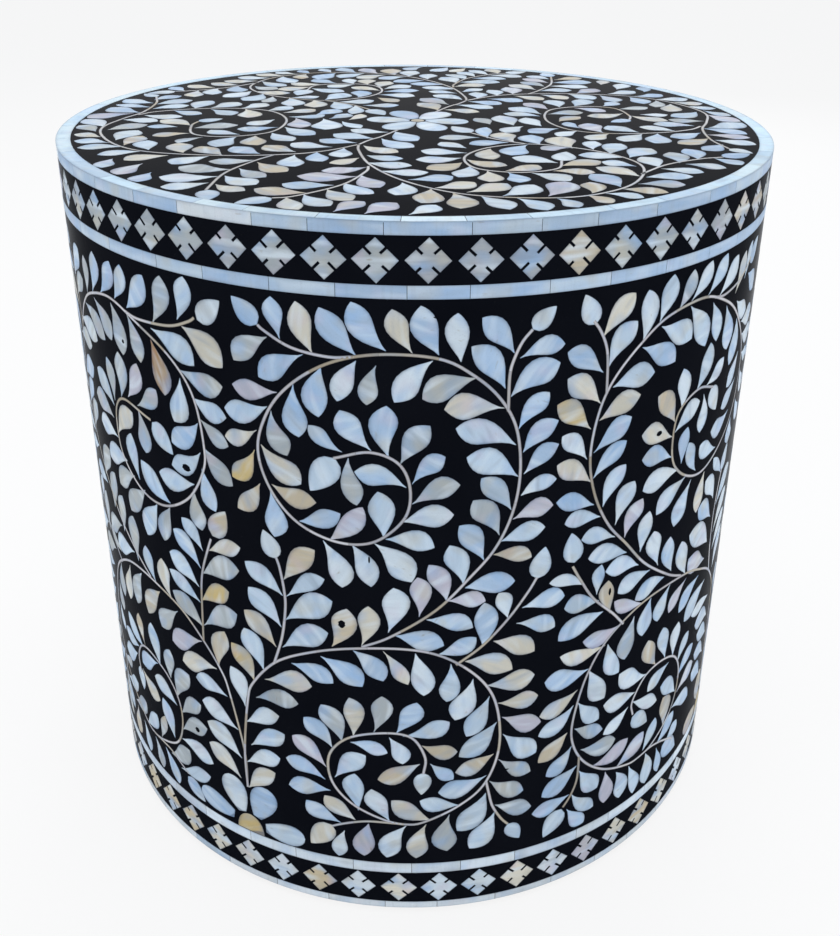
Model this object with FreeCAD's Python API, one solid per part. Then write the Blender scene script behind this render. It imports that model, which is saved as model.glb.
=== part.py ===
import FreeCAD, Part
import math
import os

from FreeCAD import Vector

# Drum side table, its face laid with mother-of-pearl chips in a black ground.
# Millimetres, +Z up, origin on the floor under the middle of the drum, front towards -Y.
# Angles are in degrees round the drum, from the front towards +X.

# Overall sizes
TABLE_DIAMETER = 450.0
BODY_HEIGHT = 450.0

# Facing: a black bed all over, with curved strips and flat-cut chips laid on it
GROUND = 1.0
STRIP = 1.0
FLAT_CHIP = 0.7
STRIP_LENGTH = 35.3
STRIP_JOINT = 0.3
STRIP_FLATS = 2

# Bands of the side, from the bottom edge up, and the rim of the top
BOTTOM_EDGE = 5.0
LOWER_BORDER = 25.4
LOWER_LINE = 8.0
UPPER_LINE = 7.0
UPPER_BORDER = 24.8
TOP_EDGE = 7.0
RIM_WIDTH = 8.5

# Lozenges of the two borders
LOZENGE_WIDTH = 22.6
LOZENGE_SPACING = 2.6
LOZENGE_MARGIN = 1.1
UPPER_LOZENGE_TURN = 1.4
LOWER_LOZENGE_TURN = 3.9

# Flowers that stand on the lower line, one for each repeat of the vine
FLOWER_COUNT = 4
FIRST_FLOWER = -27.5
FRONT_PANEL = 94.4
BUTTON_WIDTH = 20.0
BUTTON_HEIGHT = 14.5
PETAL_BASE = 8.0
PETAL_HEAD = 18.0
PETAL_LENGTH = 28.0
UPRIGHT_TILT = 17.0
SIDE_TILT = 86.0
PETAL_JOINT = 1.0

# Flower in the middle of the top
TOP_PETAL_COUNT = 6
TOP_PETAL_BASE = 4.5
TOP_PETAL_HEAD = 18.5
TOP_PETAL_LENGTH = 28.5
TOP_BUTTON_DIAMETER = 9.0
TOP_FLOWER_TURN = 25.0

# Carcass
TOP_BOARD = 18.0
SKIN = 4.0
SKIN_SEAM = 0.4
BASE_PANEL = 18.0
STILE_COUNT = 8
STILE_WIDTH = 40.0
STILE_DEPTH = 18.0
GLUE_GAP = 0.2

# Glides under the base panel
GLIDE_COUNT = 4
GLIDE_DIAMETER = 24.0
GLIDE_HEIGHT = 3.0
GLIDE_INSET = 34.0

# Radii of the layers, from the polished face inwards
FACE_RADIUS = TABLE_DIAMETER / 2
BED_RADIUS = FACE_RADIUS - STRIP
GROUND_INNER_RADIUS = BED_RADIUS - GROUND
CARCASS_RADIUS = GROUND_INNER_RADIUS - GLUE_GAP
INNER_RADIUS = CARCASS_RADIUS - SKIN
PANEL_RADIUS = INNER_RADIUS - GLUE_GAP

# Levels, from the floor up
BODY_BOTTOM = GLIDE_HEIGHT
BODY_TOP = BODY_BOTTOM + BODY_HEIGHT
TOP_BED = BODY_TOP - STRIP
BOARD_TOP = TOP_BED - GROUND
BOARD_BOTTOM = BOARD_TOP - TOP_BOARD
PANEL_TOP = BODY_BOTTOM + BASE_PANEL
LOWER_BORDER_BOTTOM = BODY_BOTTOM + BOTTOM_EDGE
LOWER_LINE_BOTTOM = LOWER_BORDER_BOTTOM + LOWER_BORDER
FIELD_BOTTOM = LOWER_LINE_BOTTOM + LOWER_LINE
TOP_EDGE_BOTTOM = BODY_TOP - TOP_EDGE
UPPER_BORDER_BOTTOM = TOP_EDGE_BOTTOM - UPPER_BORDER
FIELD_TOP = UPPER_BORDER_BOTTOM - UPPER_LINE

CENTRE = Vector(0, 0, 0)
UP = Vector(0, 0, 1)
FRONT = Vector(0, -1, 0)


def turned(shape, angle):
    """The shape turned round the drum's axis."""
    copy = shape.copy()
    copy.rotate(CENTRE, UP, angle)
    return copy


def ring_sector(inner, outer, bottom, top, start, end):
    """A curved bar of rectangular section, from one angle round the drum to another."""
    corners = [
        Vector(0, -inner, bottom),
        Vector(0, -outer, bottom),
        Vector(0, -outer, top),
        Vector(0, -inner, top),
        Vector(0, -inner, bottom),
    ]
    section = Part.Face(Part.makePolygon(corners))
    return turned(section.revolve(CENTRE, UP, end - start), start)


def disc(radius, bottom, top):
    return Part.makeCylinder(radius, top - bottom, Vector(0, 0, bottom), UP)


def ring(inner, outer, bottom, top):
    return disc(outer, bottom, top).cut(disc(inner, bottom, top))


def polar(radius, angle, level):
    turn = math.radians(angle)
    return Vector(radius * math.sin(turn), -radius * math.cos(turn), level)


def strip_bar(inner, outer, bottom, top, sweep):
    """A strip ground to the curve in a few flats, whose inside stays clear of the bed."""
    step = sweep / STRIP_FLATS
    clear = inner / math.cos(math.radians(step / 2))
    angles = [step * i for i in range(STRIP_FLATS + 1)]
    outside = [polar(outer, angle, bottom) for angle in angles]
    inside = [polar(clear, angle, bottom) for angle in reversed(angles)]
    outline = Part.makePolygon(outside + inside + outside[:1])
    return Part.Face(outline).extrude(UP * (top - bottom))


def strip_ring(inner, outer, bottom, top, first_angle):
    """A band of strips laid end to end, with a thin joint between neighbours."""
    around = 2 * math.pi * outer
    count = max(3, round(around / STRIP_LENGTH))
    pitch = 360 / count
    strip = strip_bar(inner, outer, bottom, top, pitch - 360 * STRIP_JOINT / around)
    return Part.makeCompound([turned(strip, first_angle + pitch * i) for i in range(count)])


def side_chip(outline, angle, level):
    """A flat chip bedded on the side: its outline is drawn in width and height about its middle."""
    points = [Vector(x, -BED_RADIUS, level + y) for x, y in outline]
    face = Part.Face(Part.makePolygon(points + points[:1]))
    return turned(face.extrude(FRONT * FLAT_CHIP), angle)


def lozenge_ring(bottom, height, first_angle):
    """A border of lozenges that stand corner to corner round the drum."""
    half_width = LOZENGE_WIDTH / 2
    half_height = height / 2 - LOZENGE_MARGIN
    outline = [(0, -half_height), (half_width, 0), (0, half_height), (-half_width, 0)]
    count = int(2 * math.pi * FACE_RADIUS / (LOZENGE_WIDTH + LOZENGE_SPACING))
    middle = bottom + height / 2
    chips = [side_chip(outline, first_angle + 360 * i / count, middle) for i in range(count)]
    return Part.makeCompound(chips)


def petal_face(base, head, length):
    """A petal that widens from its foot to a round head, along +Y from the origin."""
    shoulder = length - head / 2
    left_foot = Vector(-base / 2, 0, 0)
    left_head = Vector(-head / 2, shoulder, 0)
    right_head = Vector(head / 2, shoulder, 0)
    right_foot = Vector(base / 2, 0, 0)
    edges = [
        Part.LineSegment(left_foot, left_head).toShape(),
        Part.Arc(left_head, Vector(0, length, 0), right_head).toShape(),
        Part.LineSegment(right_head, right_foot).toShape(),
        Part.LineSegment(right_foot, left_foot).toShape(),
    ]
    return Part.Face(Part.Wire(edges))


def side_placed(face, across, level, tilt, flower_angle):
    """A chip from a flat face, tilted sideways and bedded on the side by a flower's axis."""
    middle = face.BoundBox.Center
    chip = face.extrude(UP * FLAT_CHIP)
    chip.translate(-middle)
    chip.rotate(CENTRE, UP, -tilt)
    chip.rotate(CENTRE, Vector(1, 0, 0), 90)
    lean = math.radians(tilt)
    centre_across = across + middle.y * math.sin(lean)
    centre_level = level + middle.y * math.cos(lean)
    chip.translate(Vector(0, -BED_RADIUS, centre_level))
    return turned(chip, flower_angle + math.degrees(centre_across / FACE_RADIUS))


def flower_angles():
    """The flowers' axes: the front panel is as laid, the others share the rest evenly."""
    rest = (360 - FRONT_PANEL) / (FLOWER_COUNT - 1)
    return [FIRST_FLOWER] + [FIRST_FLOWER + FRONT_PANEL + rest * i for i in range(FLOWER_COUNT - 1)]


def button_face():
    """An arch that stands on the lower line, with its middle on the flower's axis."""
    half = BUTTON_WIDTH / 2
    spring = BUTTON_HEIGHT - half
    edges = [
        Part.LineSegment(Vector(half, 0, 0), Vector(half, spring, 0)).toShape(),
        Part.Arc(
            Vector(half, spring, 0), Vector(0, BUTTON_HEIGHT, 0), Vector(-half, spring, 0)
        ).toShape(),
        Part.LineSegment(Vector(-half, spring, 0), Vector(-half, 0, 0)).toShape(),
        Part.LineSegment(Vector(-half, 0, 0), Vector(half, 0, 0)).toShape(),
    ]
    return Part.Face(Part.Wire(edges))


def side_petals():
    """Two upright and two sideways petals round each button."""
    petal = petal_face(PETAL_BASE, PETAL_HEAD, PETAL_LENGTH)
    upright_foot = PETAL_BASE / 2 + PETAL_JOINT
    sideways_foot = BUTTON_WIDTH / 2 + PETAL_JOINT
    sideways_level = FIELD_BOTTOM + PETAL_HEAD / 2 + PETAL_JOINT
    chips = []
    for angle in flower_angles():
        for side in (-1, 1):
            chips.append(
                side_placed(
                    petal,
                    side * upright_foot,
                    FIELD_BOTTOM + BUTTON_HEIGHT + PETAL_JOINT,
                    side * UPRIGHT_TILT,
                    angle,
                )
            )
            chips.append(
                side_placed(petal, side * sideways_foot, sideways_level, side * SIDE_TILT, angle)
            )
    return Part.makeCompound(chips)


def side_buttons():
    chips = [side_placed(button_face(), 0, FIELD_BOTTOM, 0, angle) for angle in flower_angles()]
    return Part.makeCompound(chips)


def top_petals():
    petal = petal_face(TOP_PETAL_BASE, TOP_PETAL_HEAD, TOP_PETAL_LENGTH)
    chip = petal.extrude(UP * STRIP)
    chip.translate(Vector(0, TOP_BUTTON_DIAMETER / 2 + PETAL_JOINT, TOP_BED))
    pitch = 360 / TOP_PETAL_COUNT
    return Part.makeCompound(
        [turned(chip, TOP_FLOWER_TURN + pitch * i) for i in range(TOP_PETAL_COUNT)]
    )


def stile():
    """A batten that stands between the base panel and the top board, its edges by the skin."""
    back = math.sqrt(PANEL_RADIUS**2 - (STILE_WIDTH / 2) ** 2)
    return Part.makeBox(
        STILE_WIDTH,
        STILE_DEPTH,
        BOARD_BOTTOM - PANEL_TOP,
        Vector(-STILE_WIDTH / 2, -back, PANEL_TOP),
    )


def glide(angle):
    """A round pad stuck under the base panel."""
    pad = disc(GLIDE_DIAMETER / 2, 0, GLIDE_HEIGHT)
    pad.translate(polar(FACE_RADIUS - GLIDE_INSET, angle, 0))
    return pad


seam = math.degrees(SKIN_SEAM / CARCASS_RADIUS)
rim_inner = FACE_RADIUS - RIM_WIDTH

nodes = {
    "top_board": disc(CARCASS_RADIUS, BOARD_BOTTOM, BOARD_TOP),
    "base_panel": disc(PANEL_RADIUS, BODY_BOTTOM, PANEL_TOP),
    "skin_right": ring_sector(
        INNER_RADIUS, CARCASS_RADIUS, BODY_BOTTOM, BOARD_BOTTOM, seam / 2, 180 - seam / 2
    ),
    "skin_left": ring_sector(
        INNER_RADIUS, CARCASS_RADIUS, BODY_BOTTOM, BOARD_BOTTOM, 180 + seam / 2, 360 - seam / 2
    ),
    "side_ground": ring(GROUND_INNER_RADIUS, BED_RADIUS, BODY_BOTTOM, BOARD_TOP),
    "top_ground": disc(BED_RADIUS, BOARD_TOP, TOP_BED),
    "top_rim_strips": strip_ring(rim_inner, FACE_RADIUS, TOP_BED, BODY_TOP, 3.0),
    "top_edge_strips": strip_ring(BED_RADIUS, FACE_RADIUS, TOP_EDGE_BOTTOM, TOP_BED, 8.0),
    "upper_lozenges": lozenge_ring(UPPER_BORDER_BOTTOM, UPPER_BORDER, UPPER_LOZENGE_TURN),
    "upper_line_strips": strip_ring(BED_RADIUS, FACE_RADIUS, FIELD_TOP, UPPER_BORDER_BOTTOM, 1.0),
    "lower_line_strips": strip_ring(BED_RADIUS, FACE_RADIUS, LOWER_LINE_BOTTOM, FIELD_BOTTOM, 5.0),
    "lower_lozenges": lozenge_ring(LOWER_BORDER_BOTTOM, LOWER_BORDER, LOWER_LOZENGE_TURN),
    "bottom_edge_strips": strip_ring(BED_RADIUS, FACE_RADIUS, BODY_BOTTOM, LOWER_BORDER_BOTTOM, 9.0),
    "side_flower_petals": side_petals(),
    "side_flower_buttons": side_buttons(),
    "top_flower_petals": top_petals(),
    "top_flower_button": disc(TOP_BUTTON_DIAMETER / 2, TOP_BED, BODY_TOP),
}
for i in range(STILE_COUNT):
    nodes[f"stile_{i + 1}"] = turned(stile(), 360 * (i + 0.5) / STILE_COUNT)
for i in range(GLIDE_COUNT):
    nodes[f"glide_{i + 1}"] = glide(360 * (i + 0.5) / GLIDE_COUNT)

os.makedirs("parts", exist_ok=True)
for name, shape in nodes.items():
    shape.exportStep(f"parts/{name}.step")
    print(name, len(shape.Solids), "solids", shape.isValid(), round(shape.Volume))
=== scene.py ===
import math

import bmesh
import bpy
import numpy as np
from mathutils import Matrix, Vector


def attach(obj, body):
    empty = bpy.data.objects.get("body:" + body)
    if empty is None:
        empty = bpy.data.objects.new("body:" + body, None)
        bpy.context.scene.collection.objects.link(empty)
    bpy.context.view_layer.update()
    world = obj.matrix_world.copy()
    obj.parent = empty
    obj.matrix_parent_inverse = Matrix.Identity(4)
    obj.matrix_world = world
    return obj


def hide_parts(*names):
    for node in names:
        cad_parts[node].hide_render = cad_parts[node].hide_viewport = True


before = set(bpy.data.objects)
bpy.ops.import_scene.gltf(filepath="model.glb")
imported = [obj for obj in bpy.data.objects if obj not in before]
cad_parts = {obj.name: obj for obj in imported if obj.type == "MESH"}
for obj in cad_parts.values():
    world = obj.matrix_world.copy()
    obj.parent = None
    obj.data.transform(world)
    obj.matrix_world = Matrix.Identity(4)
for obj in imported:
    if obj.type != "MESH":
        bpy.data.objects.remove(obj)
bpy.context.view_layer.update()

# Carcass
# The hidden drum: fibreboard top and base discs, two halves of bent plywood skin between them,
# and eight softwood battens glued upright inside. Only the base's underside can be seen.

STILE_COUNT = 8
PORE_SCALE = 4


class Wire:
    """An output socket of a material; sums and products of wires add its Math nodes."""

    def __init__(self, tree, socket=None):
        self.tree = tree
        self.socket = socket

    def node(self, kind, settings=None, sockets=None, output=0):
        made = self.tree.nodes.new("ShaderNode" + kind)
        for name, value in (settings or {}).items():
            setattr(made, name, value)
        for name, value in (sockets or {}).items():
            if isinstance(value, Wire):
                self.tree.links.new(value.socket, made.inputs[name])
            else:
                made.inputs[name].default_value = value
        return Wire(self.tree, made.outputs[output] if len(made.outputs) else None)

    def maths(self, operation, first, second, clamp=False):
        settings = {"operation": operation, "use_clamp": clamp}
        return self.node("Math", settings, {0: first, 1: second})

    def __add__(self, other):
        return self.maths("ADD", self, other)

    def __sub__(self, other):
        return self.maths("SUBTRACT", self, other)

    def __mul__(self, other):
        return self.maths("MULTIPLY", self, other)

    def __pow__(self, other):
        return self.maths("POWER", self, other)

    __radd__ = __add__
    __rmul__ = __mul__

    def above(self, level, width):
        """0 below a level, rising to 1 over a width; with a width under 0 it is the other way round."""
        return self.maths("MULTIPLY", self - level, 1 / width, clamp=True)

    def mix(self, first, second, share):
        """One colour going over into another by a share. Inputs 6 and 7 and output 2 carry colour."""
        return self.node("Mix", {"data_type": "RGBA"}, {0: share, 6: first, 7: second}, output=2)

    def scaled(self, sizes):
        """A position stretched by a factor on each axis."""
        return self.node("VectorMath", {"operation": "MULTIPLY"}, {0: self, 1: sizes})

    def noise(self, place, scale, detail=2.0):
        return self.node("TexNoise", None, {"Vector": place, "Scale": scale, "Detail": detail})

    def bump(self, height, strength, distance):
        sockets = {"Height": height, "Strength": strength, "Distance": distance}
        return self.node("Bump", None, sockets)


def paint(red, green, blue):
    """A colour as it is seen on a screen, 0 to 255, as the light values that shaders use."""
    light = []
    for level in (red, green, blue):
        share = level / 255
        light.append(share / 12.92 if share <= 0.04045 else ((share + 0.055) / 1.055) ** 2.4)
    return (*light, 1.0)


def new_finish(name):
    material = bpy.data.materials.new(name)
    material.use_nodes = True
    material.node_tree.nodes.clear()
    return material, Wire(material.node_tree)


def set_finish(material, wire, sockets):
    surface = wire.node("BsdfPrincipled", None, sockets)
    wire.node("OutputMaterial", None, {"Surface": surface})


def wood_finish(name, light, dark, grain, roughness):
    """Raw timber: long grain by stretching a noise, with finer pores on top."""
    material, wire = new_finish(name)
    place = wire.node("TexCoord", output="Object")
    figure = wire.noise(place.scaled(grain), 1.0, detail=4.0)
    pores = wire.noise(place.scaled([PORE_SCALE * size for size in grain]), 1.0)
    shade = 0.7 * figure.above(0.3, 0.4) + 0.3 * pores
    set_finish(material, wire, {
        "Base Color": wire.mix(paint(*light), paint(*dark), shade),
        "Roughness": roughness + 0.15 * pores,
        "Normal": wire.bump(pores, 0.2, 0.0004),
    })
    return material


def give_finish(nodes, material):
    for name in nodes:
        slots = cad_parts[name].data.materials
        slots.clear()
        slots.append(material)


fibreboard = wood_finish("raw_fibreboard", (176, 146, 108), (150, 120, 86), (240, 240, 240), 0.75)
bent_ply = wood_finish("bent_plywood", (206, 174, 130), (178, 142, 98), (60, 60, 600), 0.6)
batten_wood = wood_finish("planed_softwood", (214, 184, 136), (184, 146, 98), (320, 320, 14), 0.6)
give_finish(["top_board", "base_panel"], fibreboard)
give_finish(["skin_right", "skin_left"], bent_ply)
give_finish([f"stile_{number + 1}" for number in range(STILE_COUNT)], batten_wood)

# Glides
# Four moulded plastic pads under the base, which lift the drum off the floor. The photograph
# doesn't show them, so they are plain.

GLIDE_COUNT = 4
pad_plastic, wire = new_finish("pad_plastic")
mould = wire.noise(wire.node("TexCoord", output="Object"), 900.0)
set_finish(pad_plastic, wire, {
    "Base Color": wire.mix(paint(44, 44, 46), paint(62, 62, 64), mould),
    "Roughness": 0.55 + 0.2 * mould,
    "Normal": wire.bump(mould, 0.15, 0.0003),
})
give_finish([f"glide_{number + 1}" for number in range(GLIDE_COUNT)], pad_plastic)

# Black ground
# Black filler run in between the shell chips, rubbed down with them and polished, on the side and
# on the top. It lies a hair below the chips, as it shrinks while it sets.

MM = 0.001
FACE_RADIUS = 225.0
GIRTH = 2 * math.pi * FACE_RADIUS
FOOT = 3.0
TOP = 453.0
FILL_DEPTH = 0.1
GROUND_BACK = 223.2
BOARD_FACE = 451.0
TURNS = 240
SHARP_ANGLE = math.radians(40)


def add_object(name, mesh, material, nodes=()):
    piece = bpy.data.objects.new(name, mesh)
    bpy.context.scene.collection.objects.link(piece)
    mesh.materials.append(material)
    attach(piece, "root")
    if nodes:
        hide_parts(*nodes)


def turned_mesh(name, profile, closed):
    """A profile of radius and height turned round the drum's axis."""
    mesh = bpy.data.meshes.new(name)
    shape = bmesh.new()
    rings = []
    for radius, height in profile:
        if radius == 0:
            rings.append([shape.verts.new((0, 0, height * MM))] * TURNS)
            continue
        ring = []
        for step in range(TURNS):
            angle = 2 * math.pi * step / TURNS
            ring.append(shape.verts.new((
                radius * MM * math.cos(angle), radius * MM * math.sin(angle), height * MM)))
        rings.append(ring)
    pairs = list(zip(rings, rings[1:]))
    if closed:
        pairs.append((rings[-1], rings[0]))
    for lower, upper in pairs:
        for step in range(TURNS):
            follow = (step + 1) % TURNS
            corners = [lower[step], lower[follow], upper[follow], upper[step]]
            face = shape.faces.new(list(dict.fromkeys(corners)))
            face.smooth = True
    bmesh.ops.recalc_face_normals(shape, faces=shape.faces)
    shape.to_mesh(mesh)
    shape.free()
    mesh.set_sharp_from_angle(angle=SHARP_ANGLE)
    return mesh


black_fill, wire = new_finish("polished_black_fill")
place = wire.node("TexCoord", output="Object")
haze = wire.noise(place, 26.0, detail=3.0)
dust = wire.noise(place, 1500.0).above(0.72, 0.06)
polish = wire.mix(paint(10, 12, 18), paint(17, 19, 25), haze)
set_finish(black_fill, wire, {
    "Base Color": wire.mix(polish, paint(70, 68, 66), 0.3 * dust),
    "Roughness": 0.14 + 0.12 * haze + 0.15 * dust,
    "Specular IOR Level": 0.002,
    "Normal": wire.bump(haze, 0.06, 0.002),
})
fill_radius = FACE_RADIUS - FILL_DEPTH
fill_top = TOP - FILL_DEPTH
side_fill = turned_mesh("side_fill", [
    (GROUND_BACK, FOOT), (fill_radius, FOOT), (fill_radius, fill_top), (GROUND_BACK, fill_top),
], closed=True)
add_object("side_fill", side_fill, black_fill, ["side_ground"])
top_fill = turned_mesh("top_fill", [
    (0, BOARD_FACE), (GROUND_BACK, BOARD_FACE), (GROUND_BACK, fill_top), (0, fill_top),
], closed=False)
add_object("top_fill", top_fill, black_fill, ["top_ground"])

# Strip bands
# Narrow strips of shell, butted end to end round the rim of the top, round the side's top and
# bottom edges and as a line inside each border. Each strip is cut from another shell.

CHIP_DEPTH = 0.7
SHELL_NUMBERS = 1000.0
LIGHT_SPREAD = 0.05
LEAST_POINTS = 3
STRIP_COUNT = 40
STRIP_JOINT = 0.3
STRIP_WANDER = 5.0
STRIP_STEP = 3.0
RIM_INNER = 216.5
RIM_OUTER = FACE_RADIUS - 0.1
COOL_STRIP = (168, 191, 216)
MIDDLE_STRIP = (182, 200, 216)
LIGHT_STRIP = (214, 223, 230)
SIDE_BANDS = {
    "top_edge_strips": (443.2, 449.9, {COOL_STRIP: 6, MIDDLE_STRIP: 3, LIGHT_STRIP: 1}),
    "upper_line_strips": (411.2, 418.2, {COOL_STRIP: 7, MIDDLE_STRIP: 3}),
    # The lower line's and bottom edge's strips are paler shell, also painted lighter to make up for less
    # light low on the side.
    "lower_line_strips": (30.4, 38.4, {(216, 228, 238): 7, (202, 215, 228): 2}),
    "bottom_edge_strips": (0.1, 5.2, {LIGHT_STRIP: 8, MIDDLE_STRIP: 2}),
}
# The top rim's strips are lighter and bluer than the side's: a painted reflection of a bright sky.
PAINTED_GLARE_RIM_SHADES = {(200, 225, 241): 5, (211, 231, 241): 3, (190, 214, 235): 2}
BLUE = (167, 191, 217)
WHITE = (202, 215, 225)
PALE = (183, 202, 219)
GREY = (166, 174, 178)
CREAM = (200, 197, 185)
LILAC = (183, 183, 197)
TAN = (186, 176, 155)
GOLD = (196, 176, 124)
BROWN = (158, 126, 84)
# Each field of clouds by its stretch along, across and between chips, and its detail.
SHELL_FIELDS = {
    "cloud": ((0.06, 0.08, 1.0), 1.0),
    "glow": ((0.07, 0.06, 1.7), 1.0),
    # This field paints sheen: soft bands across the chip.
    "painted_sheen": ((0.035, 0.17, 2.3), 1.5),
    "stain": ((0.12, 0.3, 3.1), 3.0),
}
# Each tone by its field, its strength, the level and width where it comes in, and its colour.
SHELL_TONES = [
    ("cloud", 0.9, 0.48, 0.24, (140, 176, 216)),
    ("glow", 0.8, 0.54, 0.2, (190, 186, 170)),
    ("glow", 0.5, 0.42, -0.2, (202, 186, 204)),
    # The sheen field's tones: a painted highlight in its light bands and painted shade in its dark ones.
    ("painted_sheen", 0.9, 0.5, 0.22, (216, 228, 237)),
    ("painted_sheen", 0.7, 0.43, -0.2, (136, 150, 168)),
    ("stain", 0.8, 0.69, 0.1, (140, 128, 108)),
]
chance = np.random.default_rng(7)


def across_line(line):
    """Unit steps to the left of a line, at each of its points."""
    along = np.gradient(line, axis=0)
    along /= np.linalg.norm(along, axis=1)[:, None]
    return np.column_stack([-along[:, 1], along[:, 0]])


def run_along(line):
    """The length of a line up to each of its points."""
    return np.concatenate([[0], np.cumsum(np.linalg.norm(np.diff(line, axis=0), axis=1))])


def pick_tint(shares):
    names = list(shares)
    weights = np.array([shares[name] for name in names], float)
    return names[chance.choice(len(names), p=weights / weights.sum())]


def new_shell(tint, spread):
    """A number that gives a chip clouds of its own, and its tint made a little lighter or darker."""
    number = SHELL_NUMBERS * chance.random()
    light = 1 + spread * chance.standard_normal()
    return number, [level * light for level in paint(*tint)[:3]]


class Inlay:
    """Shell chips of one group, gathered into one mesh of closed plates."""

    def __init__(self):
        self.points = []
        self.faces = []
        self.tints = []
        self.lays = []

    def add(self, point, tint, lay):
        self.points.append(point)
        self.tints.append(tint)
        self.lays.append(lay)
        return len(self.points) - 1

    def lay(self, spine, left, right, place, tint, butted=False):
        """One chip along a spine in the flat drawing, with half widths to its left and right."""
        spine = np.asarray(spine, float)
        count = len(spine)
        across = across_line(spine)
        run = run_along(spine)
        left = np.broadcast_to(left, count)
        right = np.broadcast_to(right, count)
        number, colour = new_shell(tint, LIGHT_SPREAD)
        grain = 0 if butted else chance.uniform(0, math.pi)
        reaches = np.column_stack([left, np.zeros(count), -right])
        grid = np.zeros(reaches.shape, int)
        for (row, column), reach in np.ndenumerate(reaches):
            inside = column == 1 and (butted or 0 < row < count - 1)
            # The colour's fourth value marks the chip's edge, where the shell finish paints shade.
            edge = 0.0 if inside else 1.0
            spot = spine[row] + across[row] * reach
            with_grain = run[row] * math.cos(grain) + reach * math.sin(grain)
            over_grain = reach * math.cos(grain) - run[row] * math.sin(grain)
            grid[row, column] = self.add(place(*spot), (*colour, edge), (with_grain, over_grain, number))
        for near, far in zip(grid, grid[1:]):
            for column in range(len(near) - 1):
                self.faces.append([near[column], far[column], far[column + 1], near[column + 1]])
        self.close([*grid[0, :], *grid[1:-1, -1], *grid[-1, ::-1], *grid[-2:0:-1, 0]], place)

    def close(self, outline, place):
        """Walls from a chip's outline down to its back, and the back."""
        foot = []
        for top in outline:
            foot.append(self.add(place.sunk(*self.points[top]), self.tints[top], self.lays[top]))
        for spot, top in enumerate(outline):
            follow = (spot + 1) % len(outline)
            self.faces.append([top, outline[follow], foot[follow], foot[spot]])
        self.faces.append(foot)

    def piece(self, name, material, slot, nodes=()):
        mesh = bpy.data.meshes.new(name)
        mesh.from_pydata([[length * MM for length in point] for point in self.points], [], self.faces)
        shape = bmesh.new()
        shape.from_mesh(mesh)
        bmesh.ops.recalc_face_normals(shape, faces=shape.faces)
        shape.to_mesh(mesh)
        shape.free()
        mesh.shade_smooth()
        mesh.set_sharp_from_angle(angle=SHARP_ANGLE)
        tint = mesh.attributes.new("shell_tint", "FLOAT_COLOR", "POINT")
        tint.data.foreach_set("color", np.array(self.tints, np.float32).ravel())
        lay = mesh.attributes.new("shell_lay", "FLOAT_VECTOR", "POINT")
        lay.data.foreach_set("vector", np.array(self.lays, np.float32).ravel())
        add_object(name, mesh, material, nodes)


class SidePlace:
    """Wraps the flat drawing round the drum: u from an axis, z from the drum's lower edge."""

    def __init__(self, axis=0.0, stretch=1.0, lift=0.0):
        self.axis = math.radians(axis)
        self.stretch = stretch
        self.radius = FACE_RADIUS + lift

    def __call__(self, u, z):
        angle = self.axis + self.stretch * u / FACE_RADIUS
        return self.radius * math.sin(angle), -self.radius * math.cos(angle), z + FOOT

    def sunk(self, x, y, z):
        share = 1 - CHIP_DEPTH / self.radius
        return x * share, y * share, z

    def spread(self, points):
        """Points of the drawing on the drum's whole side rolled out flat."""
        return np.column_stack([self.axis * FACE_RADIUS + self.stretch * points[:, 0], points[:, 1]])


class TopPlace:
    """Lays the flat drawing on the top, as it is or turned by an angle."""

    def __init__(self, turn=0.0, lift=0.0):
        self.cos = math.cos(math.radians(turn))
        self.sin = math.sin(math.radians(turn))
        self.height = TOP + lift

    def turned(self, x, y):
        return self.cos * x - self.sin * y, self.sin * x + self.cos * y

    def __call__(self, x, y):
        return (*self.turned(x, y), self.height)

    def sunk(self, x, y, z):
        return x, y, z - CHIP_DEPTH

    def spread(self, points):
        return np.column_stack(self.turned(*points.T))


class RimPlace(TopPlace):
    """Bends a straight band round the top: u along the rim, the second length from the axis."""

    def __call__(self, u, radius):
        angle = u / FACE_RADIUS
        return radius * math.sin(angle), -radius * math.cos(angle), self.height


def shell_finish(name, play, streaks, grain=(0.05, 0.55, 1.0), rim=(7, 0.6), edge_shade_colour=(50, 68, 100)):
    """Polished shell: soft clouds of colour, painted sheen bands, growth streaks along the chip, and painted
    shade towards each chip's edge.
    """
    material, wire = new_finish(name)
    colour = wire.node("Attribute", {"attribute_name": "shell_tint"})
    edge = wire.node("Attribute", {"attribute_name": "shell_tint"}, output="Alpha")
    lay = wire.node("Attribute", {"attribute_name": "shell_lay"}, output="Vector")
    fields = {}
    for field, (stretch, detail) in SHELL_FIELDS.items():
        fields[field] = wire.noise(lay.scaled(stretch), 1.0, detail)
    streak = wire.noise(lay.scaled(grain), 1.0, detail=4.0)
    grit = wire.noise(lay, 1.6, detail=3.0)
    for field, strength, level, width, tone in SHELL_TONES:
        colour = wire.mix(colour, paint(*tone), strength * play * fields[field].above(level, width))
    colour = wire.mix(colour, paint(122, 130, 142), streaks * streak.above(0.5, 0.25))
    colour = wire.mix(colour, paint(110, 120, 138), 0.12 * grit.above(0.52, 0.2))
    # Painted shade: the colour darkens towards each chip's edge, by the power and share given in rim.
    edge_shade_power, edge_shade_share = rim
    colour = wire.mix(colour, paint(*edge_shade_colour), edge_shade_share * edge ** edge_shade_power)
    set_finish(material, wire, {
        "Base Color": colour,
        "Roughness": 0.26 + 0.18 * streak,
        "Specular IOR Level": 0.06,
        "Normal": wire.bump(streak + 0.5 * fields["cloud"], 0.08, 0.0006),
    })
    return material


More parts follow.
